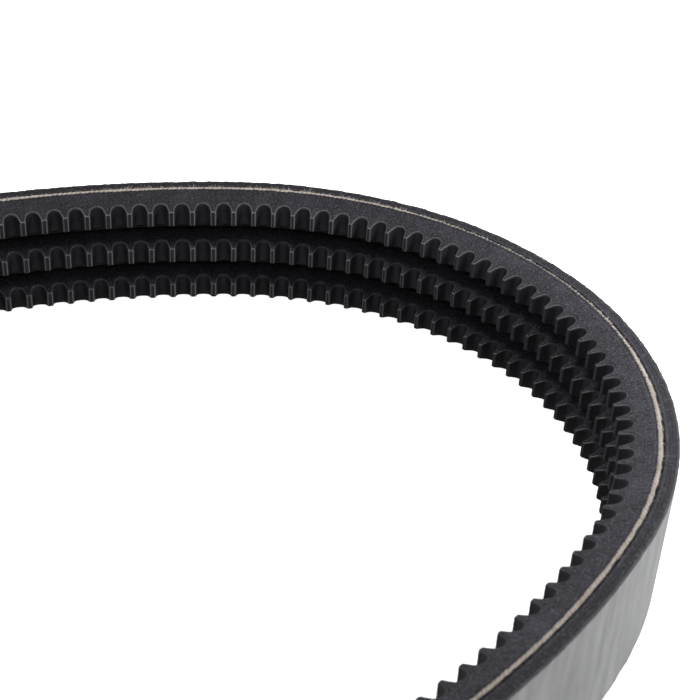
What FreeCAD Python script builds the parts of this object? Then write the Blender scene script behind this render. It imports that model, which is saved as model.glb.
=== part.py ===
"""Banded raw-edge cogged V-belt: three V ribs joined by one tie band, at rest as a relaxed oval loop.

The loop lies in the XY plane and the pulley axes run along Z. The origin is the centre of the loop, in
the mid-plane of the middle rib. The long axis of the oval lies along X. All sizes are in millimetres.

Depths across the belt are measured outwards from the cord line, which is the centre line of the tension
cords: positive towards the back of the belt, negative towards the cog tips.
"""

import FreeCAD, Part
import math
import os

# --- Driving dimensions -------------------------------------------------------------------------------

# The loop, along the cord line
CORD_LENGTH = 762.0  # a 30 inch belt
END_RADIUS = 86.1  # of the two ends of the relaxed oval
END_HALF_ANGLE = math.radians(61.6)  # each end arc runs this far to both sides of the long axis

# The ribs
RIB_NAMES = ("lower_rib", "middle_rib", "upper_rib")
RIB_PITCH = 10.3  # groove spacing of the pulleys
RIB_TOP_WIDTH = 9.3  # of one rib, at and above the cord line
GROOVE_ANGLE = math.radians(38.0)  # included angle of the V
TIP_DEPTH = 7.9  # from the cord line to the cog tips

# The cogs
COG_COUNT = 142
COG_START = 0.24  # the first cog's place past the +X apex, in cog pitches
ROOT_CENTRE_DEPTH = 6.45  # centre of the round root of a valley
ROOT_RADIUS = 1.55
VALLEY_FLARE = math.radians(12.0)  # lean of each side of a valley
TIP_CORNER_RADIUS = 0.45
LEAST_CORNER_RADIUS = 0.1  # of the rubber's own tips, under the facing
FACING_THICKNESS = 0.4  # fabric facing moulded over the cogs

# The layers above and around the cords
CORD_DIAMETER = 1.0
CORD_TURNS = 9  # side by side in each rib; the flank cut runs through the first and the last
GUM_HALF_THICKNESS = 0.75  # adhesion gum above and below the cord line
TIE_BAND_START = 1.6
TIE_BAND_LAYERS = (
    ("tie_band_inner_fabric", 0.7),
    ("tie_band_skim_gum", 0.8),
    ("tie_band_outer_fabric", 0.7),
)

# --- Sizes worked out from them -----------------------------------------------------------------------

COG_PITCH = CORD_LENGTH / COG_COUNT
SIDE_RADIUS = (CORD_LENGTH / 4 - END_RADIUS * END_HALF_ANGLE) / (math.pi / 2 - END_HALF_ANGLE)
CENTRE_OFFSET = SIDE_RADIUS - END_RADIUS
FLANK_SLOPE = math.tan(GROOVE_ANGLE / 2)
CORD_SPACING = RIB_TOP_WIDTH / (CORD_TURNS - 1)
BAND_HALF_WIDTH = RIB_PITCH * (len(RIB_NAMES) - 1) / 2 + RIB_TOP_WIDTH / 2
SECTION_OVERRUN = 1.0  # how far a cutting shape runs past the surface it trims

Z_AXIS = FreeCAD.Vector(0, 0, 1)


def loop_arcs():
    """The four arcs of the oval, anticlockwise from +X: centre, radius, start angle and end angle."""
    end_x = CENTRE_OFFSET * math.cos(END_HALF_ANGLE)
    side_y = CENTRE_OFFSET * math.sin(END_HALF_ANGLE)
    a = END_HALF_ANGLE
    return (
        (FreeCAD.Vector(end_x, 0, 0), END_RADIUS, -a, a),
        (FreeCAD.Vector(0, -side_y, 0), SIDE_RADIUS, a, math.pi - a),
        (FreeCAD.Vector(-end_x, 0, 0), END_RADIUS, math.pi - a, math.pi + a),
        (FreeCAD.Vector(0, side_y, 0), SIDE_RADIUS, math.pi + a, 2 * math.pi - a),
    )


def outward_at(distance):
    """The cord-line point this far along the loop from the +X apex, and the outward normal there."""
    along = (distance + END_RADIUS * END_HALF_ANGLE) % CORD_LENGTH
    for centre, radius, start, end in loop_arcs():
        if along <= radius * (end - start):
            break
        along -= radius * (end - start)
    angle = start + along / radius
    normal = FreeCAD.Vector(math.cos(angle), math.sin(angle), 0)
    return centre + normal * radius, normal


# --- Solids swept round the loop ----------------------------------------------------------------------


def sweep_round_loop(section):
    """Sweep a flat section round the loop as one closed solid. In the section X is the depth."""
    pieces = []
    for centre, radius, start, end in loop_arcs():
        piece = section.copy()
        piece.translate(FreeCAD.Vector(radius, 0, 0))
        piece.rotate(FreeCAD.Vector(0, 0, 0), Z_AXIS, math.degrees(start))
        piece.translate(centre)
        pieces.append(piece.revolve(centre, Z_AXIS, math.degrees(end - start)))
    ring = pieces[0].multiFuse(pieces[1:]).removeSplitter()
    return ring.Solids[0]


def flank_half_width(depth):
    """Half the width of a rib at a depth. The raw flank is square above the cord line and V-cut below."""
    return RIB_TOP_WIDTH / 2 + min(depth, 0) * FLANK_SLOPE


def rib_section(bottom, top):
    """Cross-section of one rib between two depths."""
    depths = [bottom, 0, top] if bottom < 0 < top else [bottom, top]
    right = [FreeCAD.Vector(depth, 0, flank_half_width(depth)) for depth in depths]
    left = [FreeCAD.Vector(point.x, 0, -point.z) for point in reversed(right)]
    outline = right + left
    return Part.Face(Part.makePolygon(outline + outline[:1]))


def cord_section(turn):
    """Round cross-section of one turn of the cord, before the flank is cut."""
    centre = FreeCAD.Vector(0, 0, (turn - (CORD_TURNS - 1) / 2) * CORD_SPACING)
    circle = Part.Circle(centre, FreeCAD.Vector(0, 1, 0), CORD_DIAMETER / 2)
    return Part.Face(Part.Wire(circle.toShape()))


def tie_band_layer(bottom, thickness):
    """One ply of the tie band, which spans every rib."""
    top = bottom + thickness
    corners = [
        FreeCAD.Vector(bottom, 0, -BAND_HALF_WIDTH),
        FreeCAD.Vector(top, 0, -BAND_HALF_WIDTH),
        FreeCAD.Vector(top, 0, BAND_HALF_WIDTH),
        FreeCAD.Vector(bottom, 0, BAND_HALF_WIDTH),
    ]
    return sweep_round_loop(Part.Face(Part.makePolygon(corners + corners[:1])))


def overcord_rubber():
    """Rubber between the cords' gum and the tie band."""
    return sweep_round_loop(rib_section(GUM_HALF_THICKNESS, TIE_BAND_START))


def adhesion_gum():
    """Gum that holds the cords, with a channel for every turn."""
    section = rib_section(-GUM_HALF_THICKNESS, GUM_HALF_THICKNESS)
    for turn in range(CORD_TURNS):
        section = section.cut(cord_section(turn))
    return sweep_round_loop(section.Faces[0])


def cord_turns(turns):
    """Turns of the tension cord as separate rings, trimmed by the flanks."""
    envelope = rib_section(-GUM_HALF_THICKNESS, GUM_HALF_THICKNESS)
    rings = [sweep_round_loop(cord_section(turn).common(envelope).Faces[0]) for turn in turns]
    return rings[0] if len(rings) == 1 else Part.makeCompound(rings)


# --- Cogs ---------------------------------------------------------------------------------------------


def valley_points(growth):
    """Right half of a valley as (sideways, depth) points: root, side, tip corner, tip.

    The valley grows by this much all round, which gives the rubber's outline under the facing.
    """
    lean_x, lean_y = math.sin(VALLEY_FLARE), math.cos(VALLEY_FLARE)
    root_radius = ROOT_RADIUS + growth
    corner_radius = max(TIP_CORNER_RADIUS - growth, LEAST_CORNER_RADIUS)
    tip_depth = TIP_DEPTH - growth
    side_start = (root_radius * lean_y, ROOT_CENTRE_DEPTH - root_radius * lean_x)
    side_length = (tip_depth - side_start[1]) / lean_y
    mouth_x = side_start[0] + side_length * lean_x
    setback = corner_radius * math.tan((math.pi / 2 - VALLEY_FLARE) / 2)
    side_end = (mouth_x - setback * lean_x, tip_depth - setback * lean_y)
    corner_centre = (mouth_x + setback, tip_depth - corner_radius)
    to_mouth = math.hypot(setback, corner_radius)
    corner_middle = (
        corner_centre[0] - corner_radius * setback / to_mouth,
        corner_centre[1] + corner_radius * corner_radius / to_mouth,
    )
    root = (0.0, ROOT_CENTRE_DEPTH - root_radius)
    return root, side_start, side_end, corner_middle, (mouth_x + setback, tip_depth)


def cog_outline(growth):
    """Closed outline of the cogged inside of the belt, seen along the pulley axes."""
    root, side_start, side_end, corner_middle, tip_start = valley_points(growth)
    right = (side_start, side_end, corner_middle, tip_start)
    left = tuple((-x, depth) for x, depth in right)
    start = COG_START + 0.5  # in cog pitches; a valley lies half a pitch past each cog
    valleys = []
    for index in range(COG_COUNT):
        origin, normal = outward_at((start + index) * COG_PITCH)
        along = Z_AXIS.cross(normal)
        outline = left[::-1] + (root,) + right
        valleys.append([origin + along * x - normal * depth for x, depth in outline])
    edges = []
    for index, points in enumerate(valleys):
        left_tip, left_corner, left_end, left_start, bottom = points[:5]
        right_start, right_end, right_corner, right_tip = points[5:]
        next_tip = valleys[(index + 1) % COG_COUNT][0]
        cog_origin, cog_normal = outward_at((start + index + 0.5) * COG_PITCH)
        crown = cog_origin - cog_normal * (TIP_DEPTH - growth)
        edges += [
            Part.Arc(left_tip, left_corner, left_end).toShape(),
            Part.makeLine(left_end, left_start),
            Part.Arc(left_start, bottom, right_start).toShape(),
            Part.makeLine(right_start, right_end),
            Part.Arc(right_end, right_corner, right_tip).toShape(),
            Part.Arc(right_tip, crown, next_tip).toShape(),
        ]
    return Part.Wire(edges)


def loop_outline(depth):
    """Outline of the loop at a depth, as four arcs."""
    edges = []
    for centre, radius, start, end in loop_arcs():
        circle = Part.Circle(centre, Z_AXIS, radius + depth)
        edges.append(circle.toShape(start, end))
    return Part.Wire(edges)


def cogged_layer(outer, inner, wedge):
    """The part of the V-shaped ring that lies between two outlines."""
    flat = Part.makeFace([outer, inner], "Part::FaceMakerBullseye")
    flat.translate(FreeCAD.Vector(0, 0, -RIB_TOP_WIDTH))
    slab = flat.extrude(FreeCAD.Vector(0, 0, 2 * RIB_TOP_WIDTH))
    return slab.common(wedge).Solids[0]


def cogged_layers():
    """The compression rubber and the facing over its cogs."""
    wedge = sweep_round_loop(rib_section(-TIP_DEPTH - SECTION_OVERRUN, -GUM_HALF_THICKNESS))
    rubber_outline = cog_outline(FACING_THICKNESS)
    rubber = cogged_layer(loop_outline(0), rubber_outline, wedge)
    facing = cogged_layer(rubber_outline, cog_outline(0), wedge)
    return rubber, facing


# --- Assembly -----------------------------------------------------------------------------------------


def rib_pieces():
    """Every layer of one rib, in the mid-plane of the loop."""
    rubber, facing = cogged_layers()
    lower_edge_cord = cord_turns([0])
    return {
        "overcord_rubber": overcord_rubber(),
        "adhesion_gum": adhesion_gum(),
        "tension_cord": cord_turns(range(1, CORD_TURNS - 1)),
        "lower_edge_cord": lower_edge_cord,
        "upper_edge_cord": lower_edge_cord.mirror(FreeCAD.Vector(0, 0, 0), Z_AXIS),
        "compression_rubber": rubber,
        "cog_facing": facing,
    }


def belt_pieces():
    """Every piece of the belt in its place, by node name."""
    pieces = {}
    depth = TIE_BAND_START
    for name, thickness in TIE_BAND_LAYERS:
        pieces[name] = tie_band_layer(depth, thickness)
        depth += thickness
    rib = rib_pieces()
    for index, rib_name in enumerate(RIB_NAMES):
        height = (index - (len(RIB_NAMES) - 1) / 2) * RIB_PITCH
        for layer, shape in rib.items():
            pieces[f"{rib_name}_{layer}"] = shape.translated(FreeCAD.Vector(0, 0, height))
    return pieces


os.makedirs("parts", exist_ok=True)
for node, shape in belt_pieces().items():
    shape.exportStep(f"parts/{node}.step")
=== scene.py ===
"""Looks of the banded cogged V-belt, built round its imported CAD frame.

Lengths here are in millimetres until a mesh is made, and every mesh is in metres in the frame's axes.
A place on the belt is given by its distance round the loop (anticlockwise from the +X end, along the
cord line), its depth (outwards from the cord line, so towards the back of the belt) and its height Z.
"""

import math

import bpy
import numpy as np
from mathutils import Euler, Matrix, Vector


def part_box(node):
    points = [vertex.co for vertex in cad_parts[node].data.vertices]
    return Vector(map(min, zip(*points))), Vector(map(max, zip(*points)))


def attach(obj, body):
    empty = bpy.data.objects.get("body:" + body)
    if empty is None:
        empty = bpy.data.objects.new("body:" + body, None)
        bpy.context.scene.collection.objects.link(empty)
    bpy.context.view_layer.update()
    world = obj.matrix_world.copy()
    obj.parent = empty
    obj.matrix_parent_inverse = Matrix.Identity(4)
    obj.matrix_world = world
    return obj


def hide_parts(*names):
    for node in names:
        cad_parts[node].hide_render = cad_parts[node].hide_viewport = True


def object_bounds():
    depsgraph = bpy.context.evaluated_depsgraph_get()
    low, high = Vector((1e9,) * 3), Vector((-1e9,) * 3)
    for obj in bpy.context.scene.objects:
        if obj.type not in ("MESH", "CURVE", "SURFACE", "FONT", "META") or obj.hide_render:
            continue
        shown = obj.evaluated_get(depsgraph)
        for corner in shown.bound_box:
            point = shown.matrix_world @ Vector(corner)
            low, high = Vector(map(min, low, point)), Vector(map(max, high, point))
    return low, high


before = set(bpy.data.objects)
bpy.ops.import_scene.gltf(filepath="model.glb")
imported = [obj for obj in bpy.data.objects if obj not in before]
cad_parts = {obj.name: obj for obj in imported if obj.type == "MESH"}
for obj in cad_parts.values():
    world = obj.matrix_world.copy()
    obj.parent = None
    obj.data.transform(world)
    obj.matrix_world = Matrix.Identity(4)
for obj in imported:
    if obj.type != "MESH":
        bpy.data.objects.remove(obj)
CAD_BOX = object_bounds()

MM = 0.001
SEED = 569

# --- The loop, from the frame -------------------------------------------------------------------------

CORD_DIAMETER = 1.0
END_HALF_ANGLE = math.radians(61.6)
COG_COUNT = 142
COG_START = 0.24  # first cog past the +X end, in cog pitches

RIBS = ("lower_rib", "middle_rib", "upper_rib")


def node_box(node):
    """Lowest and highest corners of a CAD node in millimetres."""
    low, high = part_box(node)
    return np.array(low) / MM, np.array(high) / MM


CORD_HIGH = node_box("middle_rib_tension_cord")[1] - CORD_DIAMETER / 2
CENTRE_OFFSET = (CORD_HIGH[0] - CORD_HIGH[1]) / (math.cos(END_HALF_ANGLE) + math.sin(END_HALF_ANGLE) - 1)
END_RADIUS = CORD_HIGH[0] - CENTRE_OFFSET * math.cos(END_HALF_ANGLE)
SIDE_RADIUS = END_RADIUS + CENTRE_OFFSET
LOOP_LENGTH = 4 * (END_RADIUS * END_HALF_ANGLE + SIDE_RADIUS * (math.pi / 2 - END_HALF_ANGLE))
COG_PITCH = LOOP_LENGTH / COG_COUNT
RIB_TOP_WIDTH = float(np.ptp([corner[2] for corner in node_box("middle_rib_adhesion_gum")]))
RIB_HEIGHTS = {rib: float(np.mean([corner[2] for corner in node_box(rib + "_adhesion_gum")])) for rib in RIBS}
GUM_HALF_THICKNESS = float(node_box("middle_rib_adhesion_gum")[1][0] - CORD_HIGH[0])
BAND_HALF_WIDTH = float(node_box("tie_band_outer_fabric")[1][2])

# --- Cog shape ----------------------------------------------------------------------------------------

TIP_DEPTH = 7.9
ROOT_CENTRE_DEPTH = 6.45
ROOT_RADIUS = 1.55
VALLEY_FLARE = math.radians(14.0)  # 2 degrees more open than the CAD valley
TIP_CORNER_RADIUS = 0.45
FACING_THICKNESS = 0.4
FLANK_SLOPE = math.tan(math.radians(19.0))  # half of the 38 degree groove angle
ROOT_POINTS = 8  # along half of a valley's round root
CORNER_POINTS = 6  # along the rounded corner of a cog
COG_HEIGHT_UNEVENNESS = 0.05
COG_WIDTH_UNEVENNESS = 0.02  # as a share
# Painted highlight on the crown of a cog
CROWN_PAINTED_HIGHLIGHT = 0.05


def loop_frame(distance):
    """Centre, radius and outward normal of the loop at each distance, as arrays."""
    a = END_HALF_ANGLE
    end_x = CENTRE_OFFSET * math.cos(a)
    side_y = CENTRE_OFFSET * math.sin(a)
    centres = np.array([(end_x, 0), (0, -side_y), (-end_x, 0), (0, side_y)])
    radii = np.array([END_RADIUS, SIDE_RADIUS, END_RADIUS, SIDE_RADIUS])
    starts = np.array([-a, a, math.pi - a, math.pi + a])
    sweeps = np.array([2 * a, math.pi - 2 * a, 2 * a, math.pi - 2 * a])
    ends = np.cumsum(radii * sweeps)
    along = np.mod(np.asarray(distance, float) + END_RADIUS * a, LOOP_LENGTH)
    arc = np.minimum(np.searchsorted(ends, along), 3)
    angle = starts[arc] + (along - (ends[arc] - radii[arc] * sweeps[arc])) / radii[arc]
    normal = np.stack([np.cos(angle), np.sin(angle)], -1)
    return centres[arc], radii[arc], normal


def on_belt(distance, depth, height):
    """Points of the belt in metres."""
    centre, radius, normal = loop_frame(distance)
    flat = centre + normal * (radius + depth)[..., None]
    return np.concatenate([flat, np.asarray(height, float)[..., None]], -1) * MM


# --- Meshes -------------------------------------------------------------------------------------------


def smooth_noise(rng, count, step):
    """A closed wavy row of numbers between about -1 and 1 that changes over `step` entries."""
    knots = max(4, int(round(count / step)))
    values = rng.uniform(-1, 1, knots)
    at = np.arange(count) * knots / count
    low = at.astype(int)
    blend = at - low
    blend = blend * blend * (3 - 2 * blend)
    return values[low % knots] * (1 - blend) + values[(low + 1) % knots] * blend


def grain_along(rng, distance, step):
    """Random grain that depends on the distance round the loop, so close points stay level."""
    knots = int(LOOP_LENGTH / step)
    places = np.arange(knots) * LOOP_LENGTH / knots
    return np.interp(distance, places, rng.normal(size=knots), period=LOOP_LENGTH)


def value_along(table, distance):
    """A value given at some distances round the loop, and evenly changing between them."""
    places, values = zip(*table)
    return np.interp(distance, places, values, period=LOOP_LENGTH)


def add_piece(name, points, faces, uv, material, nodes=(), shade=None):
    """Make one mesh piece of quads, give it its material and let it stand for its CAD nodes."""
    mesh = bpy.data.meshes.new(name)
    mesh.vertices.add(len(points))
    mesh.vertices.foreach_set("co", np.ascontiguousarray(points, np.float32).ravel())
    mesh.loops.add(faces.size)
    mesh.loops.foreach_set("vertex_index", np.ascontiguousarray(faces, np.int32).ravel())
    mesh.polygons.add(len(faces))
    mesh.polygons.foreach_set("loop_start", np.arange(0, faces.size, 4, dtype=np.int32))
    mesh.polygons.foreach_set("use_smooth", np.ones(len(faces), bool))
    mesh.update(calc_edges=True)
    layer = mesh.uv_layers.new(name="belt")
    layer.data.foreach_set("uv", np.ascontiguousarray(uv, np.float32).ravel())
    if shade is not None:
        attribute = mesh.attributes.new("shade", "FLOAT", "POINT")
        attribute.data.foreach_set("value", np.ascontiguousarray(shade, np.float32).ravel())
    mesh.validate()
    piece = bpy.data.objects.new(name, mesh)
    bpy.context.scene.collection.objects.link(piece)
    mesh.materials.append(material)
    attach(piece, "root")
    if nodes:
        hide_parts(*nodes)
    return piece


def add_ring(name, distance, depth, height, material, nodes=(), shade=None):
    """A closed tube round the loop. Each argument has a row for each column of points round the loop."""
    columns, rows = depth.shape
    distance = np.broadcast_to(distance, depth.shape)
    points = on_belt(distance, depth, height).reshape(-1, 3)
    column = np.arange(columns)[:, None]
    row = np.arange(rows)[None, :]
    following = (column + 1) % columns
    above = (row + 1) % rows
    corners = ((column, row), (following, row), (following, above), (column, above))
    faces = np.stack([np.broadcast_to(c * rows + r, (columns, rows)) for c, r in corners], -1).reshape(-1, 4)
    closed_depth = np.concatenate([depth, depth[:, :1]], 1)
    closed_height = np.concatenate([height, height[:, :1]], 1)
    sides = np.hypot(np.diff(closed_depth, axis=1), np.diff(closed_height, axis=1))
    girth = np.concatenate([np.zeros((columns, 1)), np.cumsum(sides, axis=1)], 1)
    along = np.concatenate([distance, distance[:1] + LOOP_LENGTH], 0)
    u = np.stack([along[:-1], along[1:], along[1:], along[:-1]], -1)
    low, high = girth[:, :-1], girth[:, 1:]
    v = np.stack([low, np.roll(low, -1, 0), np.roll(high, -1, 0), high], -1)
    uv = np.stack([u, v], -1)
    shade = None if shade is None else np.broadcast_to(shade, depth.shape)
    return add_piece(name, points, faces, uv, material, nodes, shade)


def corner_painted_highlight(angle):
    """How strong the painted highlight on a cog's rounded corner is at an angle round it: most half way,
    least at its ends.
    """
    return abs(math.sin(2 * max(angle, 0.03))) ** 0.7


def valley_profile():
    """One valley and the two half cogs beside it: sideways place, depth, normal into the rubber, painted
    highlight.

    Sideways places are measured from the middle of the valley. The last point, the crown of the cog,
    is left to the caller. The painted highlight is 1 on the rounded corners of the cogs.
    """
    lean = VALLEY_FLARE
    root_angles = np.linspace(0, math.pi / 2 - lean, ROOT_POINTS)
    root = [(ROOT_RADIUS * math.sin(t), ROOT_CENTRE_DEPTH - ROOT_RADIUS * math.cos(t),
             math.sin(t), -math.cos(t), 0.0) for t in root_angles]
    start_x, start_depth = root[-1][:2]
    mouth_x = start_x + (TIP_DEPTH - start_depth) * math.tan(lean)
    setback = TIP_CORNER_RADIUS * math.tan((math.pi / 2 - lean) / 2)
    corner_x = mouth_x + setback
    corner_depth = TIP_DEPTH - TIP_CORNER_RADIUS
    corner = [(corner_x - TIP_CORNER_RADIUS * math.cos(t), corner_depth + TIP_CORNER_RADIUS * math.sin(t),
               math.cos(t), -math.sin(t), corner_painted_highlight(t))
              for t in np.linspace(-lean, math.pi / 2, CORNER_POINTS)]
    side = tuple((a + b) / 2 for a, b in zip(root[-1], corner[0]))
    half = np.array(root + [side] + corner)
    mirrored = half[:0:-1] * np.array([-1, 1, -1, 1, 1])
    return np.concatenate([mirrored, half])


def cog_columns(rng):
    """Columns of points round the cogged inside: distance, depth, normal into the rubber and painted
    highlight.
    """
    profile = valley_profile()
    crown = np.array([[profile[-1, 0], TIP_DEPTH, 0, -1, CROWN_PAINTED_HIGHLIGHT]])
    valley = np.concatenate([profile, crown])
    columns = []
    for index in range(COG_COUNT):
        middle = (COG_START + 0.5 + index) * COG_PITCH
        radius = float(loop_frame(np.array([middle]))[1][0])
        sideways, depth = valley[:, 0].copy(), valley[:, 1].copy()
        lift = rng.uniform(-COG_HEIGHT_UNEVENNESS, COG_HEIGHT_UNEVENNESS)
        deep = np.clip((depth - ROOT_CENTRE_DEPTH) / (TIP_DEPTH - ROOT_CENTRE_DEPTH), 0, 1)
        depth = depth + lift * deep
        sideways = sideways * (1 + rng.uniform(-COG_WIDTH_UNEVENNESS, COG_WIDTH_UNEVENNESS))
        distance = middle + sideways * radius / (radius - depth)
        distance[-1] = middle + COG_PITCH / 2
        columns.append(np.column_stack([distance, depth, valley[:, 2:]]))
    return np.concatenate(columns)


def grown(columns, growth):
    """The cog columns moved into the rubber by a growth."""
    radius = loop_frame(columns[:, 0])[1]
    scale = radius / (radius - columns[:, 1])
    return columns[:, 0] + columns[:, 2] * growth * scale, columns[:, 1] + columns[:, 3] * growth


def flank_half_width(depth_in):
    """Half the rib's width at a depth below the cord line, given as a positive number."""
    return RIB_TOP_WIDTH / 2 - np.maximum(depth_in, 0) * FLANK_SLOPE


# Facing section from the hidden side over the lip: growth into the rubber, inset of the flank, painted
# highlight
LIP_SECTION = (
    (0.40, 0.05, 0.2),
    (0.28, 0.08, 0.7),
    (0.17, 0.13, 1.0),
    (0.09, 0.20, 0.9),
    (0.03, 0.30, 0.5),
    (0.0, 0.42, 0.1),
)
LIP_AT_TIP = 0.5  # share of that inset left at the cog tips
LIP_WAVINESS = 0.02
LIP_WAVE = 9  # in columns of points
FACING_ROWS = (0.78, 0.45, 0.0, -0.45, -0.78)  # between the lips, as shares of the width
FACING_ROW_INSET = 0.13
FACING_RIPPLE = 0.012
SURFACE_GROWTH = 0.05  # rows that have grown less than this lie on the surface
# Distance round the loop and how strong the painted highlight on the rims is there
RIM_PAINTED_HIGHLIGHT = ((-60, 0.2), (5, 0.2), (30, 0.65), (85, 1.0), (150, 1.0), (300, 0.6))
# Strength of the painted highlight along the rims
RIM_PALENESS = 1.5
RIM_ROUNDING_LOSS = 0.8  # painted highlight lost where the rim is fully rounded off
CORNER_PAINTED_HIGHLIGHT = 1.85  # painted highlight on the cogs' corners


def lip_rounding(columns):
    """How far the edge along the flank is rounded off: fully at the root of a valley, less at a tip."""
    rise = (TIP_DEPTH - columns[:, 1]) / (TIP_DEPTH - ROOT_CENTRE_DEPTH + ROOT_RADIUS)
    return LIP_AT_TIP + (1 - LIP_AT_TIP) * np.clip(rise, 0, 1)


def add_facing(rib, columns, rng):
    """The moulded facing over the cogs of one rib, with a rounded lip along both flanks."""
    distance, depth, height, shade = [], [], [], []

    def add_row(growth, spread, inset, lip):
        along, down = grown(columns, growth)
        distance.append(along)
        depth.append(-down)
        height.append(spread * (flank_half_width(down) - inset))
        # Painted highlight along the lips and on the cogs' corners, stronger at some places round the loop
        rim = lip * (RIM_PALENESS - RIM_ROUNDING_LOSS * rounding)
        on_surface = growth < SURFACE_GROWTH
        shade.append(wear_and_painted_highlight * np.maximum(rim, CORNER_PAINTED_HIGHLIGHT * columns[:, 4] * on_surface))

    def add_lip_row(growth, spread, inset, pale):
        wave = LIP_WAVINESS * smooth_noise(rng, len(columns), LIP_WAVE)
        add_row(growth, spread, inset * rounding + wave, pale)

    rounding = lip_rounding(columns)
    wear_and_painted_highlight = value_along(RIM_PAINTED_HIGHLIGHT, columns[:, 0])
    for growth, inset, pale in LIP_SECTION:
        add_lip_row(growth, 1.0, inset, pale)
    for spread in FACING_ROWS:
        add_row(FACING_RIPPLE * rng.uniform(-1, 1), spread, FACING_ROW_INSET, 0.0)
    for growth, inset, pale in reversed(LIP_SECTION):
        add_lip_row(growth, -1.0, inset, pale)
    add_row(FACING_THICKNESS, 0.0, 0.0, 0.0)
    height = np.stack(height, 1) + RIB_HEIGHTS[rib]
    add_ring(rib + "_cog_facing_moulded", np.stack(distance, 1), np.stack(depth, 1), height,
             MATERIALS["cog_facing"], [rib + "_cog_facing"], np.stack(shade, 1))


FLANK_ROWS = (0.0, 0.08, 0.16, 0.25, 0.34, 0.43, 0.52, 0.61, 0.70, 0.79, 0.89, 1.0)  # from cogs to gum
FLANK_GRAIN = 0.014
FLANK_GRAIN_STEP = 0.35
FLANK_SWEEP = 0.03  # slow ups and downs of the cut
FLANK_SWEEP_STEP = 9.0
FACING_OVERLAP = 0.03  # how far the rubber reaches into the facing
LIP_REACH = 0.15  # share of the flank over which the lip's inset runs out
CAP_SPREAD = 0.35  # places of the two rows between the flanks, as a share of the width


def add_compression_rubber(rib, columns, rng):
    """The rubber behind the facing of one rib, with grainy cut flanks."""
    along, down = grown(columns, FACING_THICKNESS - FACING_OVERLAP)
    rounding = lip_rounding(columns)
    distance, depth, height = [], [], []
    top = GUM_HALF_THICKNESS
    for side in (1.0, -1.0):
        rows = FLANK_ROWS if side > 0 else FLANK_ROWS[::-1]
        for share in rows:
            row_down = down + (top - down) * share
            place = along + (columns[:, 0] - along) * share
            relief = 0.0
            if 0 < share < 1:
                grain = FLANK_GRAIN * grain_along(rng, place, FLANK_GRAIN_STEP)
                relief = grain + FLANK_SWEEP * grain_along(rng, place, FLANK_SWEEP_STEP)
            inset = LIP_SECTION[0][1] * rounding * max(0.0, 1 - share / LIP_REACH)
            distance.append(place)
            depth.append(-row_down)
            height.append(side * (flank_half_width(row_down) - inset + relief))
        for spread in (CAP_SPREAD * side, -CAP_SPREAD * side):
            distance.append(distance[-1])
            depth.append(depth[-1])
            height.append(spread * flank_half_width(-depth[-1]))
    height = np.stack(height, 1) + RIB_HEIGHTS[rib]
    add_ring(rib + "_cut_rubber", np.stack(distance, 1), np.stack(depth, 1), height,
             MATERIALS["compression_rubber"], [rib + "_compression_rubber"])


# Groove left along the back side of a cord laid bare, darkened with painted shade: its depths in the belt,
# how deep it is cut
CORD_GROOVE = (0.1, 0.9)
GROOVE_DEPTH = 0.15
EDGE_ROW_STEP = 0.25  # between points up a layer's cut edge
PLY_STEP = 0.45  # between points round the loop
GUM_STEP = 0.6
PLY_GRAIN = 0.03  # roughness of the cut edge
GUM_GRAIN = 0.012
OVERCORD_GRAIN = 0.02


def layer_section(bottom, top):
    """Closed cross-section of a layer: depth, place across as a share of half the width, edge or not."""
    edge = np.linspace(bottom, top, max(3, int(round((top - bottom) / EDGE_ROW_STEP)) + 1))
    upper = [(depth, 1.0, True) for depth in edge]
    over = [(top, spread, False) for spread in (0.5, 0.0, -0.5)]
    lower = [(depth, -1.0, True) for depth in edge[::-1]]
    under = [(bottom, 0.0, False)]
    return upper + over + lower + under


def add_layer(name, node, bottom, top, centre, half_width, rng, material, step, grain, groove=None):
    """One plain layer of the belt. Its cut edges have a grain, and a groove if its two depths are given."""
    count = int(LOOP_LENGTH / step)
    distance = np.arange(count) * LOOP_LENGTH / count
    depth, height, shade = [], [], []
    for level, spread, edge in layer_section(bottom, top):
        sunk = GROOVE_DEPTH if edge and groove and groove[0] < level < groove[1] else 0.0
        relief = (grain if edge else 0) * rng.normal(size=count)
        depth.append(np.full(count, level))
        height.append(centre + spread * (half_width(level) - sunk + relief))
        shade.append(1.0 if sunk else 0.0)
    add_ring(name, distance[:, None], np.stack(depth, 1), np.stack(height, 1), material, [node],
             np.array(shade)[None, :])


def rib_half_width(level):
    """Half the rib's width at a depth, which is negative below the cord line."""
    return RIB_TOP_WIDTH / 2 + np.minimum(level, 0) * FLANK_SLOPE


def band_half_width(level):
    """Half the tie band's width, the same at every depth."""
    return BAND_HALF_WIDTH


# --- The woven back -----------------------------------------------------------------------------------

WEAVE_COLUMNS_PER_COG = 10
WEAVE_ROWS = 54
WEAVE_RELIEF = 0.018
WEAVE_FUZZ = 0.012
BACK_UNEVENNESS = 0.042  # of the outline, in a long and a short wave
BACK_WAVES = (4, 1.6)  # in columns of points
BACK_EDGE_FUZZ = 0.035
BACK_CORNER = 0.06  # how far the back's corners are rounded off
BACK_CORNER_SHARE = 0.06  # share of the half width that the rounding takes
BACK_EDGE_POINTS = 4
BACK_EDGE_DROP = 0.1  # from the back to the top of the cut edge


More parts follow.
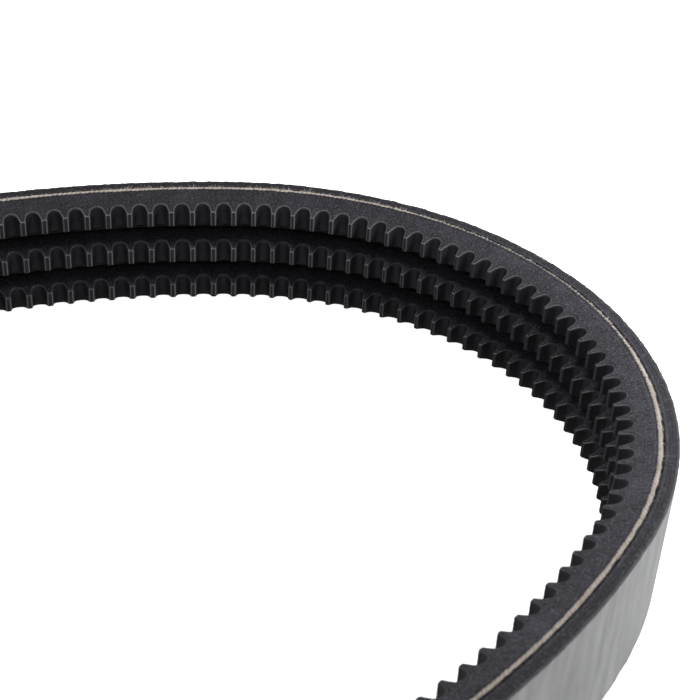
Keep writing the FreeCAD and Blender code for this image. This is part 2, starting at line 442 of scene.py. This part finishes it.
def add_woven_back(name, node, bottom, top, rng, material):
    """The outer fabric ply. Its back has the plain weave's ups and downs, one at every thread crossing."""
    count = COG_COUNT * WEAVE_COLUMNS_PER_COG
    distance = np.arange(count) * LOOP_LENGTH / count
    index = np.arange(count)
    depth, height, shade = [], [], []
    uneven = BACK_UNEVENNESS * sum(smooth_noise(rng, count, wave) for wave in BACK_WAVES)

    def add_cut_edge(side, levels):
        for level in levels:
            depth.append(level + uneven * (level - bottom) / (top - bottom))
            height.append(side * (BAND_HALF_WIDTH + uneven + BACK_EDGE_FUZZ * rng.normal(size=count)))
            shade.append(1.0)

    edge = np.linspace(bottom, top - BACK_EDGE_DROP, BACK_EDGE_POINTS)
    add_cut_edge(1.0, edge)
    for row in range(WEAVE_ROWS):
        spread = 1 - 2 * (row + 0.5) / WEAVE_ROWS
        crossing = np.where((index + row) % 2 == 0, 1.0, -1.0)
        relief = WEAVE_RELIEF * crossing + WEAVE_FUZZ * rng.normal(size=count)
        near_edge = max(0.0, (abs(spread) - 1) / BACK_CORNER_SHARE + 1)
        depth.append(top - WEAVE_RELIEF - BACK_CORNER * near_edge + relief + uneven * near_edge)
        height.append(np.full(count, spread * (BAND_HALF_WIDTH - BACK_CORNER)))
        shade.append(0.0)
    add_cut_edge(-1.0, edge[::-1])
    depth.append(np.full(count, bottom))
    height.append(np.zeros(count))
    shade.append(1.0)
    add_ring(name, distance[:, None], np.stack(depth, 1), np.stack(height, 1), material, [node],
             np.array(shade)[None, :])


# --- The cords laid bare by the flank cut -------------------------------------------------------------

CORD_STEP = 0.3  # between points along a cord on the outside of the belt
HIDDEN_CORD_STEP = 0.9  # and along one that faces the next rib
CORD_LAY = 3.4  # one turn of the twist
CORD_TURNS = round(LOOP_LENGTH / CORD_LAY)
CORD_PLIES = 3
# Distance round the loop and width of cord laid bare there. Each turn of the real cord is part of a
# helix, so the flank cut goes deep into it at one place and only grazes it at another.
BARE_WIDTHS = (
    (-48, 0.98), (-28, 0.6), (-8, 0.34), (8, 0.26), (40, 0.38), (75, 0.68), (130, 0.78), (158, 0.97),
)
# Distance round the loop and how much darker the bare cord is made there
CORD_DARKENING = ((-90, 0.5), (-40, 0.4), (20, 0.45), (60, 0.1), (90, 0.0), (150, 0.0), (300, 0.3))
# Unevenness of the bare width and of the cord's place: how much, over how many millimetres
BARE_WAVES = ((0.08, 12), (0.26, 1.1))
CORD_WAVES = ((0.035, 7), (0.05, 1.6))
BARE_FUZZ = 0.07
GRAZED_WIDTH = 0.6  # below this bare width, the hollows of the twist start to stay under the rubber
GRAZED_FADE = 0.3
HOLLOW_SHARES = (0.18, 0.8)  # least and most share of the width that a hollow takes
LEAST_BARE_HALF = 0.04
MOST_BARE_HALF = 0.999 * CORD_DIAMETER / 2
# Cut face of the cord across its bare width: share of half that width, and depth below the flank.
# It stands a little proud of the flank in the middle.
CUT_FACE = (
    (-1.0, 0.02), (-0.82, -0.05), (-0.5, -0.085), (-0.17, -0.1),
    (0.17, -0.1), (0.5, -0.085), (0.82, -0.05), (1.0, 0.02),
)
TWIST_RELIEF = 0.06
TWIST_SKEW = 2.6  # radians of the twist from the middle of the cut face to its side
TWIST_SWAY = 0.03
CUT_FUZZ = 0.025
HIDDEN_SPREAD = 0.7  # of the sliced cord's hidden side, as a share of half the bare width
HIDDEN_DEPTH = 0.45  # of that side below the flank


def add_edge_cord(rib, side, rng, step, material):
    """One sliced edge turn of the cord, lying in the flank with its twist showing on the cut face."""
    count = int(LOOP_LENGTH / step)
    distance = np.arange(count) * LOOP_LENGTH / count
    bare = value_along(BARE_WIDTHS, distance)
    for amount, wave in BARE_WAVES:
        bare = bare * (1 + amount * smooth_noise(rng, count, wave / step))
    turned = 2 * math.pi * CORD_PLIES * CORD_TURNS * distance / LOOP_LENGTH
    hollow = 0.5 - 0.5 * np.cos(turned)
    grazed = np.clip((GRAZED_WIDTH - bare) / GRAZED_FADE, *HOLLOW_SHARES)
    half = bare / 2 * (1 - grazed * hollow) * (1 + BARE_FUZZ * rng.normal(size=count))
    half = np.clip(half, LEAST_BARE_HALF, MOST_BARE_HALF)
    wobble = sum(amount * smooth_noise(rng, count, wave / step) for amount, wave in CORD_WAVES)
    depth, height = [], []
    for place, inset in CUT_FACE:
        twist = np.cos(turned + place * TWIST_SKEW)
        level = wobble + place * half
        relief = TWIST_RELIEF * twist * (1 - place * place) + CUT_FUZZ * rng.normal(size=count)
        depth.append(level + TWIST_SWAY * twist * abs(place))
        height.append(rib_half_width(level) - inset + relief)
    for place in (HIDDEN_SPREAD, -HIDDEN_SPREAD):
        depth.append(wobble + place * half)
        height.append(np.full(count, RIB_TOP_WIDTH / 2 - HIDDEN_DEPTH))
    height = side * np.stack(height, 1)
    depth = np.stack(depth, 1)
    if side < 0:
        depth, height = depth[:, ::-1], height[:, ::-1]
    edge = "upper" if side > 0 else "lower"
    node = f"{rib}_{edge}_edge_cord"
    darkening = value_along(CORD_DARKENING, distance)
    add_ring(node + "_twisted", distance[:, None], depth, height + RIB_HEIGHTS[rib],
             material, [node], darkening[:, None])


FRAY_SIDES = 4
FRAY_STEPS = 5
FIBRE_BEND = 0.55  # how far a fibre's end may bend away, as a share of its length
FIBRE_TAPER = 0.75
FIBRES_PER_TUFT = (4, 10)
FIBRE_LENGTHS = (0.5, 1.3)  # as shares of the tuft's length
FIBRE_RADII = (0.03, 0.075)
TUFT_WIDTH = 0.4


def add_fibres(name, roots, leans, lengths, radii, rng, material):
    """Fine loose fibres as thin curved tapering tubes. Roots and leans are in belt directions."""
    ring = np.arange(FRAY_SIDES) * 2 * math.pi / FRAY_SIDES
    share = np.linspace(0, 1, FRAY_STEPS + 1)
    points, faces, uvs = [], [], []
    for root, lean, length, root_radius in zip(roots, leans, lengths, radii):
        bend = rng.uniform(-1, 1, 3) * FIBRE_BEND
        path = root + length * (share[:, None] * lean + (share ** 2)[:, None] * bend)
        radius = root_radius * (1 - FIBRE_TAPER * share)
        along = path[:, 0][:, None] + radius[:, None] * np.cos(ring)
        down = path[:, 1][:, None] + 0 * ring
        up = path[:, 2][:, None] + radius[:, None] * np.sin(ring)
        start = len(points) * (FRAY_STEPS + 1) * FRAY_SIDES
        points.append(on_belt(along, down, up).reshape(-1, 3))
        for step in range(FRAY_STEPS):
            for corner in range(FRAY_SIDES):
                following = (corner + 1) % FRAY_SIDES
                low, high = start + step * FRAY_SIDES, start + (step + 1) * FRAY_SIDES
                faces.append((low + corner, low + following, high + following, high + corner))
                uvs.append([(0, share[step]), (1, share[step]), (1, share[step + 1]), (0, share[step + 1])])
        first, last = start, start + FRAY_STEPS * FRAY_SIDES
        faces.append((first + 3, first + 2, first + 1, first))
        faces.append((last, last + 1, last + 2, last + 3))
        uvs += [[(0, 0)] * 4, [(0, 1)] * 4]
    add_piece(name, np.concatenate(points), np.array(faces), np.array(uvs, float), material)


def add_cord_fray(rib, side, rng, tufts, start, end, longest, name):
    """Tufts of cut cord fibre along one flank between two distances, mostly leaning outwards."""
    roots, leans, lengths, radii = [], [], [], []
    flank = RIB_HEIGHTS[rib] + side * (RIB_TOP_WIDTH / 2 + 0.02)
    for _ in range(tufts):
        at = rng.uniform(start, end)
        size = longest * rng.uniform(0.45, 1.0) ** 2
        edge = value_along(BARE_WIDTHS, at) / 2
        for _ in range(rng.integers(*FIBRES_PER_TUFT)):
            roots.append(np.array([at + rng.normal() * TUFT_WIDTH, edge * rng.uniform(0.2, 1.0), flank]))
            lean = np.array([rng.normal() * 0.8, rng.uniform(0.3, 1.2), side * rng.uniform(0.1, 0.9)])
            leans.append(lean / np.linalg.norm(lean))
            lengths.append(size * rng.uniform(*FIBRE_LENGTHS))
            radii.append(rng.uniform(*FIBRE_RADII))
    add_fibres(name, roots, leans, lengths, radii, rng, MATERIALS["cord_fray"])


# --- Materials ----------------------------------------------------------------------------------------

MATERIALS = {}

# Colours as (red, green, blue, 1); a pair is a material's dark and its light
# Painted shade in the groove beside a bare cord
GROOVE_PAINTED_SHADE = (0.003, 0.003, 0.0035, 1)
LINT = (0.2, 0.2, 0.205, 1)
RIB_RUBBER = (0.0098, 0.0094, 0.0120, 1), (0.036, 0.0353, 0.0435, 1)
GUM_RUBBER = (0.0098, 0.0094, 0.0120, 1), (0.034, 0.0333, 0.041, 1)
PLY_EDGE = (0.0095, 0.0091, 0.0116, 1), (0.033, 0.0323, 0.0398, 1)
FACING = (0.024, 0.0236, 0.0285, 1), (0.04, 0.0396, 0.0475, 1)
# Painted highlights on the facing's lips and on the cogs' corners
FACING_EDGE = (0.05, 0.0495, 0.058, 1), (0.13, 0.129, 0.148, 1)
FACING_PAINTED_HIGHLIGHT = (0.33, 0.325, 0.36, 1)
BACK = (0.115, 0.117, 0.12, 1), (0.18, 0.182, 0.187, 1)
BACK_THREADS = (0.27, 0.272, 0.28, 1)
BACK_STREAKS = (0.33, 0.333, 0.322, 1)
CORD = (0.42, 0.35, 0.3, 1), (0.86, 0.8, 0.74, 1)
CORD_STAIN = (0.36, 0.26, 0.19, 1)
CORD_HOLLOW = (0.15, 0.115, 0.09, 1)
# Painted shade for the cords that face the next rib
CORD_PAINTED_SHADE = (0.03, 0.027, 0.02, 1)
# Darker tone of the bare cord at some places round the loop
CORD_DARK_TONE = (0.05, 0.042, 0.036, 1)
TABLE = (0.93, 0.93, 0.93, 1), (0.97, 0.97, 0.97, 1)

WEAVE_PITCH = 0.55
WEAVE_BIAS = math.radians(45)  # the tie band's threads run slantwise
TWIST_LEAN = 5.2  # radians of the twist's stripes for each millimetre across the cord

# The camera sees the table and the surround as plain white. These are what they give the belt.
TABLE_GLOW = 0.07
TABLE_BOUNCE = 0.15  # share of the lamps' light that the table throws back
SURROUND_GLOW = 0.31


def new_material(name, roughness, specular=0.5):
    """A material with its Principled shader, ready for nodes."""
    material = bpy.data.materials.new(name)
    material.use_nodes = True
    shader = material.node_tree.nodes["Principled BSDF"]
    shader.inputs["Roughness"].default_value = roughness
    shader.inputs["Specular IOR Level"].default_value = specular
    return material, material.node_tree, shader


def add_node(tree, kind, settings=None, **inputs):
    """Add a node, set its properties and connect or set its inputs. In names _ stands for a space."""
    node = tree.nodes.new("ShaderNode" + kind)
    for key, value in (settings or {}).items():
        setattr(node, key, value)
    for key, value in inputs.items():
        socket = node.inputs[int(key[1:])] if key[1:].isdigit() else node.inputs[key.replace("_", " ")]
        if isinstance(value, bpy.types.NodeSocket):
            tree.links.new(value, socket)
        else:
            socket.default_value = value
    return node


def brighter(colour, factor):
    """A colour with its channels multiplied."""
    return tuple(channel * factor for channel in colour[:3]) + (1.0,)


def scaled(tree, source, scale):
    """A coordinate source with its axes scaled."""
    return add_node(tree, "VectorMath", {"operation": "MULTIPLY"}, i0=source, i1=scale).outputs[0]


def place_in_mm(tree):
    """The point's place in millimetres."""
    source = add_node(tree, "TexCoord").outputs["Object"]
    return scaled(tree, source, (1000, 1000, 1000))


def belt_place(tree):
    """Distance round the loop and across the piece, in millimetres, from the mesh's UV map."""
    return add_node(tree, "UVMap", {"uv_map": "belt"}).outputs["UV"]


def noise(tree, place, scale, detail=4.0, roughness=0.6):
    """A noise value from 0 to 1."""
    node = add_node(tree, "TexNoise", Vector=place, Scale=scale, Detail=detail, Roughness=roughness)
    return node.outputs["Fac"]


def math_node(tree, operation, first, second=0.0):
    """One arithmetic step."""
    return add_node(tree, "Math", {"operation": operation}, i0=first, i1=second).outputs[0]


def remap(tree, value, low, high, new_low=0.0, new_high=1.0):
    """A value moved from one range to another, held at its ends."""
    limits = {"From_Min": low, "From_Max": high, "To_Min": new_low, "To_Max": new_high}
    return add_node(tree, "MapRange", Value=value, **limits).outputs[0]


def mix_colour(tree, factor, first, second):
    """A colour between two colours."""
    node = add_node(tree, "Mix", {"data_type": "RGBA"})
    for socket, value in ((node.inputs[0], factor), (node.inputs[6], first), (node.inputs[7], second)):
        if isinstance(value, bpy.types.NodeSocket):
            tree.links.new(value, socket)
        else:
            socket.default_value = value
    return node.outputs[2]


def connect(tree, value, socket):
    """Link a value to a shader input."""
    tree.links.new(value, socket)


def bump(tree, shader, value, strength, distance):
    """Let a value stand out on the surface, by up to a distance in millimetres."""
    node = add_node(tree, "Bump", Height=value, Strength=strength, Distance=distance * MM)
    connect(tree, node.outputs["Normal"], shader.inputs["Normal"])


def shade_of(tree):
    """The mesh's own shade value."""
    return add_node(tree, "Attribute", {"attribute_name": "shade"}).outputs["Fac"]


def cut_rubber_material(name, dark, light, grooved=False):
    """Cut rubber: a coarse grain of pale fibre ends and a little lint. Grooved, it has painted shade in the
    groove by the cord.
    """
    material, tree, shader = new_material(name, 0.85, 0.3)
    place = place_in_mm(tree)
    grain = noise(tree, place, 3.6, 1.0, 0.6)
    cloud = noise(tree, place, 0.16, 3.0, 0.5)
    fibres = noise(tree, place, 2.9, 0.0, 0.5)
    pale = brighter(light, 2.7)
    base = mix_colour(tree, remap(tree, grain, 0.36, 0.64), dark, light)
    base = mix_colour(tree, remap(tree, fibres, 0.55, 0.8, 0, 0.8), base, pale)
    base = mix_colour(tree, remap(tree, cloud, 0.45, 0.8, 0, 0.25), base, pale)
    lint = noise(tree, place, 1.9, 0.0, 0.5)
    base = mix_colour(tree, remap(tree, lint, 0.88, 0.9), base, LINT)
    if grooved:
        # Painted shade in the groove, with less shine there
        ragged = remap(tree, noise(tree, place, 0.9, 3.0, 0.6), 0.35, 0.65, 0.2, 0.95)
        in_groove = math_node(tree, "MULTIPLY", shade_of(tree), ragged)
        base = mix_colour(tree, in_groove, base, GROOVE_PAINTED_SHADE)
        connect(tree, remap(tree, in_groove, 0.0, 1.0, 0.3, 0.03), shader.inputs["Specular IOR Level"])
    connect(tree, base, shader.inputs["Base Color"])
    connect(tree, remap(tree, grain, 0.3, 0.7, 0.72, 0.95), shader.inputs["Roughness"])
    bump(tree, shader, math_node(tree, "ADD", grain, fibres), 0.8, 0.12)
    return material


def facing_material():
    """Moulded facing: dark satin in the valleys, with a painted highlight as a paler edge along the flanks
    and a brighter painted highlight on the cogs' corners.
    """
    material, tree, shader = new_material("cog_facing", 0.45, 0.5)
    place = place_in_mm(tree)
    fine = noise(tree, place, 5.0, 4.0, 0.65)
    cloud = noise(tree, place, 0.35, 2.0, 0.5)
    base = mix_colour(tree, remap(tree, cloud, 0.3, 0.7), *FACING)
    # The mesh's shade paints highlights: paler lines, and the brightest ones where it goes past 1
    edge = mix_colour(tree, remap(tree, fine, 0.35, 0.7), *FACING_EDGE)
    wear_and_painted_highlight = math_node(tree, "MULTIPLY", shade_of(tree), remap(tree, fine, 0.2, 0.55, 0.5, 1.0))
    base = mix_colour(tree, wear_and_painted_highlight, base, edge)
    brightest_painted_highlight = remap(tree, math_node(tree, "SUBTRACT", shade_of(tree), fine), 0.4, 1.5)
    base = mix_colour(tree, brightest_painted_highlight, base, FACING_PAINTED_HIGHLIGHT)
    connect(tree, base, shader.inputs["Base Color"])
    connect(tree, remap(tree, fine, 0.3, 0.75, 0.36, 0.52), shader.inputs["Roughness"])
    bump(tree, shader, fine, 0.25, 0.05)
    return material


def ply_edge_colour(tree, dark, light):
    """Colour and height of a cut ply: thread ends in rubber, so small paler knots."""
    solid = place_in_mm(tree)
    knots = noise(tree, solid, 1.5, 1.0, 0.5)
    grain = noise(tree, solid, 2.8, 4.0, 0.75)
    pale = brighter(light, 2.0)
    base = mix_colour(tree, remap(tree, grain, 0.36, 0.66), dark, light)
    base = mix_colour(tree, remap(tree, knots, 0.55, 0.74, 0, 0.8), base, pale)
    return base, math_node(tree, "ADD", grain, knots)


def ply_edge_material(name):
    """A ply that shows only its cut edge."""
    material, tree, shader = new_material(name, 0.85, 0.3)
    base, height = ply_edge_colour(tree, *PLY_EDGE)
    connect(tree, base, shader.inputs["Base Color"])
    bump(tree, shader, height, 0.9, 0.12)
    return material


def woven_material():
    """The fabric back: rubber-filled plain weave, a little paler on the high threads and in streaks."""
    material, tree, shader = new_material("tie_band_fabric", 0.6, 0.5)
    place = belt_place(tree)
    solid = place_in_mm(tree)
    threads = scaled(tree, place, (math.pi / WEAVE_PITCH, math.pi / WEAVE_PITCH, 1))
    turned = add_node(tree, "VectorRotate", {"rotation_type": "Z_AXIS"}, Vector=threads, Angle=WEAVE_BIAS)
    split = add_node(tree, "SeparateXYZ", i0=turned.outputs[0])
    warp = math_node(tree, "COSINE", split.outputs[0])
    weft = math_node(tree, "COSINE", split.outputs[1])
    weave = math_node(tree, "MULTIPLY", warp, weft)
    fuzz = noise(tree, solid, 3.5, 5.0, 0.7)
    patches = noise(tree, solid, 0.09, 3.0, 0.55)
    base = mix_colour(tree, remap(tree, fuzz, 0.3, 0.7), *BACK)
    wear_and_painted_highlight = remap(tree, patches, 0.35, 0.7, 0.2, 0.6)
    high_threads = math_node(tree, "MULTIPLY", remap(tree, weave, -0.2, 1.0), wear_and_painted_highlight)
    base = mix_colour(tree, high_threads, base, BACK_THREADS)
    streaks = noise(tree, scaled(tree, place, (0.35, 0.05, 1)), 1.0, 3.0, 0.6)
    base = mix_colour(tree, remap(tree, streaks, 0.35, 0.7, 0.0, 0.45), base, BACK_STREAKS)
    edge, edge_height = ply_edge_colour(tree, *PLY_EDGE)
    is_edge = shade_of(tree)
    connect(tree, mix_colour(tree, is_edge, base, edge), shader.inputs["Base Color"])
    connect(tree, remap(tree, fuzz, 0.3, 0.7, 0.6, 0.8), shader.inputs["Roughness"])
    back_height = math_node(tree, "ADD", math_node(tree, "MULTIPLY", weave, 0.2), fuzz)
    height = math_node(tree, "ADD", math_node(tree, "MULTIPLY", edge_height, is_edge), back_height)
    bump(tree, shader, height, 0.5, 0.07)
    return material


def cord_material(name, twisted, painted_shade=0.0):
    """Undyed cord. Twisted, it has dark hollows and is made darker where its mesh's shade says; a painted
    shade darkens it evenly.
    """
    material, tree, shader = new_material(name, 0.75, 0.3)
    solid = place_in_mm(tree)
    fine = noise(tree, solid, 6.0, 4.0, 0.65)
    base = mix_colour(tree, remap(tree, fine, 0.3, 0.7), *CORD)
    stain = noise(tree, solid, 0.45, 2.0, 0.55)
    base = mix_colour(tree, remap(tree, stain, 0.45, 0.75, 0, 0.4), base, CORD_STAIN)
    # Painted shade, the same all over
    base = mix_colour(tree, painted_shade, base, CORD_PAINTED_SHADE)
    height = fine
    if twisted:
        # Darker where the mesh's shade says, by distance round the loop
        base = mix_colour(tree, shade_of(tree), base, CORD_DARK_TONE)
        turning = 2 * math.pi * CORD_TURNS * CORD_PLIES / LOOP_LENGTH
        split = add_node(tree, "SeparateXYZ", i0=scaled(tree, belt_place(tree), (turning, TWIST_LEAN, 1)))
        stripe = math_node(tree, "COSINE", math_node(tree, "ADD", split.outputs[0], split.outputs[1]))
        hollow = remap(tree, stripe, -1.0, 0.1, 1.0, 0.0)
        sooty = remap(tree, noise(tree, solid, 0.8, 3.0, 0.6), 0.4, 0.62)
        hollow = math_node(tree, "MULTIPLY", hollow, sooty)
        base = mix_colour(tree, math_node(tree, "MULTIPLY", hollow, 0.75), base, CORD_HOLLOW)
        height = math_node(tree, "ADD", fine, math_node(tree, "MULTIPLY", stripe, 0.3))
    connect(tree, base, shader.inputs["Base Color"])
    connect(tree, remap(tree, fine, 0.3, 0.7, 0.62, 0.85), shader.inputs["Roughness"])
    bump(tree, shader, height, 0.6, 0.08)
    return material


def white_or_lighting(tree, lighting):
    """One for what the camera sees and another strength for the light given to the belt."""
    is_camera = add_node(tree, "LightPath").outputs["Is Camera Ray"]
    return remap(tree, is_camera, 0.0, 1.0, lighting, 1.0)


def floor_material():
    """A pale seamless table."""
    material, tree, shader = new_material("pale_table", 0.9, 0.2)
    tint = noise(tree, place_in_mm(tree), 0.01, 2.0, 0.5)
    base = mix_colour(tree, tint, *TABLE)
    base = mix_colour(tree, white_or_lighting(tree, TABLE_BOUNCE), (0, 0, 0, 1), base)
    connect(tree, base, shader.inputs["Base Color"])
    shader.inputs["Emission Color"].default_value = (1, 1, 1, 1)
    connect(tree, white_or_lighting(tree, TABLE_GLOW), shader.inputs["Emission Strength"])
    return material


def make_materials():
    """Every material of the belt, by name."""
    MATERIALS["compression_rubber"] = cut_rubber_material("compression_rubber", *RIB_RUBBER)
    MATERIALS["overcord_rubber"] = cut_rubber_material("overcord_rubber", *GUM_RUBBER, grooved=True)
    MATERIALS["adhesion_gum"] = cut_rubber_material("adhesion_gum", *GUM_RUBBER, grooved=True)
    MATERIALS["cog_facing"] = facing_material()
    MATERIALS["inner_fabric"] = ply_edge_material("tie_band_inner_fabric")
    MATERIALS["skim_gum"] = ply_edge_material("tie_band_skim_gum")
    MATERIALS["woven_back"] = woven_material()
    MATERIALS["edge_cord"] = cord_material("edge_cord", True)
    MATERIALS["painted_shade_edge_cord"] = cord_material("painted_shade_edge_cord", True, 0.8)
    MATERIALS["cord_fray"] = cord_material("cord_fray", False)
    MATERIALS["inner_cord"] = cord_material("inner_cord", False)


# --- The belt -----------------------------------------------------------------------------------------


def back_level(node):
    """Depth in the belt of a ring node's back, measured at the +X end."""
    return float(node_box(node)[1][0] - CORD_HIGH[0])


def build_belt():
    """Every visible piece of the belt. The order of its calls is the order of the random draws."""
    rng = np.random.default_rng(SEED)
    columns = cog_columns(rng)
    inner_top = back_level("tie_band_inner_fabric")
    skim_top = back_level("tie_band_skim_gum")
    outer_top = back_level("tie_band_outer_fabric")
    overcord_top = back_level("middle_rib_overcord_rubber")
    add_layer("tie_band_inner_ply", "tie_band_inner_fabric", overcord_top, inner_top, 0.0, band_half_width,
              rng, MATERIALS["inner_fabric"], PLY_STEP, PLY_GRAIN)
    add_layer("tie_band_skim", "tie_band_skim_gum", inner_top, skim_top, 0.0, band_half_width,
              rng, MATERIALS["skim_gum"], PLY_STEP, PLY_GRAIN)
    add_woven_back("tie_band_woven_back", "tie_band_outer_fabric", skim_top, outer_top, rng,
                   MATERIALS["woven_back"])
    for rib in RIBS:
        add_facing(rib, columns, rng)
        add_compression_rubber(rib, columns, rng)
        centre = RIB_HEIGHTS[rib]
        add_layer(rib + "_gum", rib + "_adhesion_gum", -GUM_HALF_THICKNESS, GUM_HALF_THICKNESS, centre,
                  rib_half_width, rng, MATERIALS["adhesion_gum"], GUM_STEP, GUM_GRAIN,
                  CORD_GROOVE)
        add_layer(rib + "_overcord", rib + "_overcord_rubber", GUM_HALF_THICKNESS, overcord_top, centre,
                  rib_half_width, rng, MATERIALS["overcord_rubber"], GUM_STEP,
                  OVERCORD_GRAIN, CORD_GROOVE)
        for side in (1.0, -1.0):
            outside = rib == RIBS[1 + int(side)]
            step = CORD_STEP if outside else HIDDEN_CORD_STEP
            # Cords that face the next rib get the copy with painted shade
            material = MATERIALS["edge_cord" if outside else "painted_shade_edge_cord"]
            add_edge_cord(rib, side, rng, step, material)
    for rib in RIBS:
        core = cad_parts[rib + "_tension_cord"]
        core.data.materials.clear()
        core.data.materials.append(MATERIALS["inner_cord"])
    add_cord_fray("upper_rib", 1.0, rng, 70, 48, 128, 1.0, "upper_rib_cord_fray")
    add_cord_fray("upper_rib", 1.0, rng, 460, -120, 200, 0.4, "upper_rib_cord_fray_fine")
    add_cord_fray("lower_rib", -1.0, rng, 160, 200, 520, 0.7, "lower_rib_cord_fray")


# --- Studio -------------------------------------------------------------------------------------------

CAMERA_PLACE = Vector((-59.76, -212.37, 178.86)) * MM
CAMERA_HEADING = 33.62  # degrees clockwise from +Y, seen from above
CAMERA_TILT = 32.92  # degrees below the horizon
CAMERA_ROLL = 3.28
CAMERA_LENS = 73.8  # on a 36 mm sensor
CAMERA_FOCUS = 0.365  # metres
CAMERA_STOP = 64
FLOOR_HALF = 3.0  # metres
FLOOR_GAP = 0.0002


def add_camera():
    """The camera, at the viewing angle of the picture this belt follows."""
    data = bpy.data.cameras.new("camera")
    data.lens = CAMERA_LENS
    data.sensor_width = 36
    data.clip_start = 0.01
    data.dof.use_dof = True
    data.dof.focus_distance = CAMERA_FOCUS
    data.dof.aperture_fstop = CAMERA_STOP
    camera = bpy.data.objects.new("camera", data)
    camera.location = CAMERA_PLACE
    turn = Euler((math.radians(90 - CAMERA_TILT), 0, math.radians(-CAMERA_HEADING)), "XYZ").to_matrix()
    roll = Euler((0, 0, math.radians(CAMERA_ROLL)), "XYZ").to_matrix()
    camera.rotation_euler = (turn @ roll).to_euler()
    bpy.context.scene.collection.objects.link(camera)
    bpy.context.scene.camera = camera


def add_area_light(name, place, target, width, height, power):
    """A soft lamp aimed at a point, in metres and watts. It lights the belt and isn't seen itself."""
    data = bpy.data.lights.new(name, "AREA")
    data.shape = "RECTANGLE"
    data.size = width
    data.size_y = height
    data.energy = power
    lamp = bpy.data.objects.new(name, data)
    lamp.location = place
    lamp.rotation_euler = (Vector(target) - Vector(place)).to_track_quat("-Z", "Y").to_euler()
    lamp.visible_camera = False
    bpy.context.scene.collection.objects.link(lamp)


def add_studio():
    """Pale floor, bright surround and soft lamps."""
    floor_height = CAD_BOX[0][2] - FLOOR_GAP
    square = ((-1, -1), (1, -1), (1, 1), (-1, 1))
    corners = [(x * FLOOR_HALF, y * FLOOR_HALF, floor_height) for x, y in square]
    mesh = bpy.data.meshes.new("floor")
    mesh.from_pydata(corners, [], [(0, 1, 2, 3)])
    floor = bpy.data.objects.new("floor", mesh)
    bpy.context.scene.collection.objects.link(floor)
    mesh.materials.append(floor_material())
    world = bpy.data.worlds.new("studio")
    world.use_nodes = True
    background = world.node_tree.nodes["Background"]
    background.inputs["Color"].default_value = (1, 1, 1, 1)
    glow = white_or_lighting(world.node_tree, SURROUND_GLOW)
    connect(world.node_tree, glow, background.inputs["Strength"])
    bpy.context.scene.world = world
    add_area_light("key", (0.0, 0.2, 0.7), (0.05, 0.05, 0.0), 0.2, 0.2, 2.15)
    add_area_light("right", (0.22, -0.03, 0.14), (0.2, -0.12, 0.0), 0.08, 0.08, 0.42)
    add_area_light("low_right", (0.6, -0.4, 0.004), (0.12, -0.06, 0.0), 0.08, 0.02, 5.0)
    bpy.context.scene.view_settings.view_transform = "Standard"


make_materials()
build_belt()
add_camera()
add_studio()
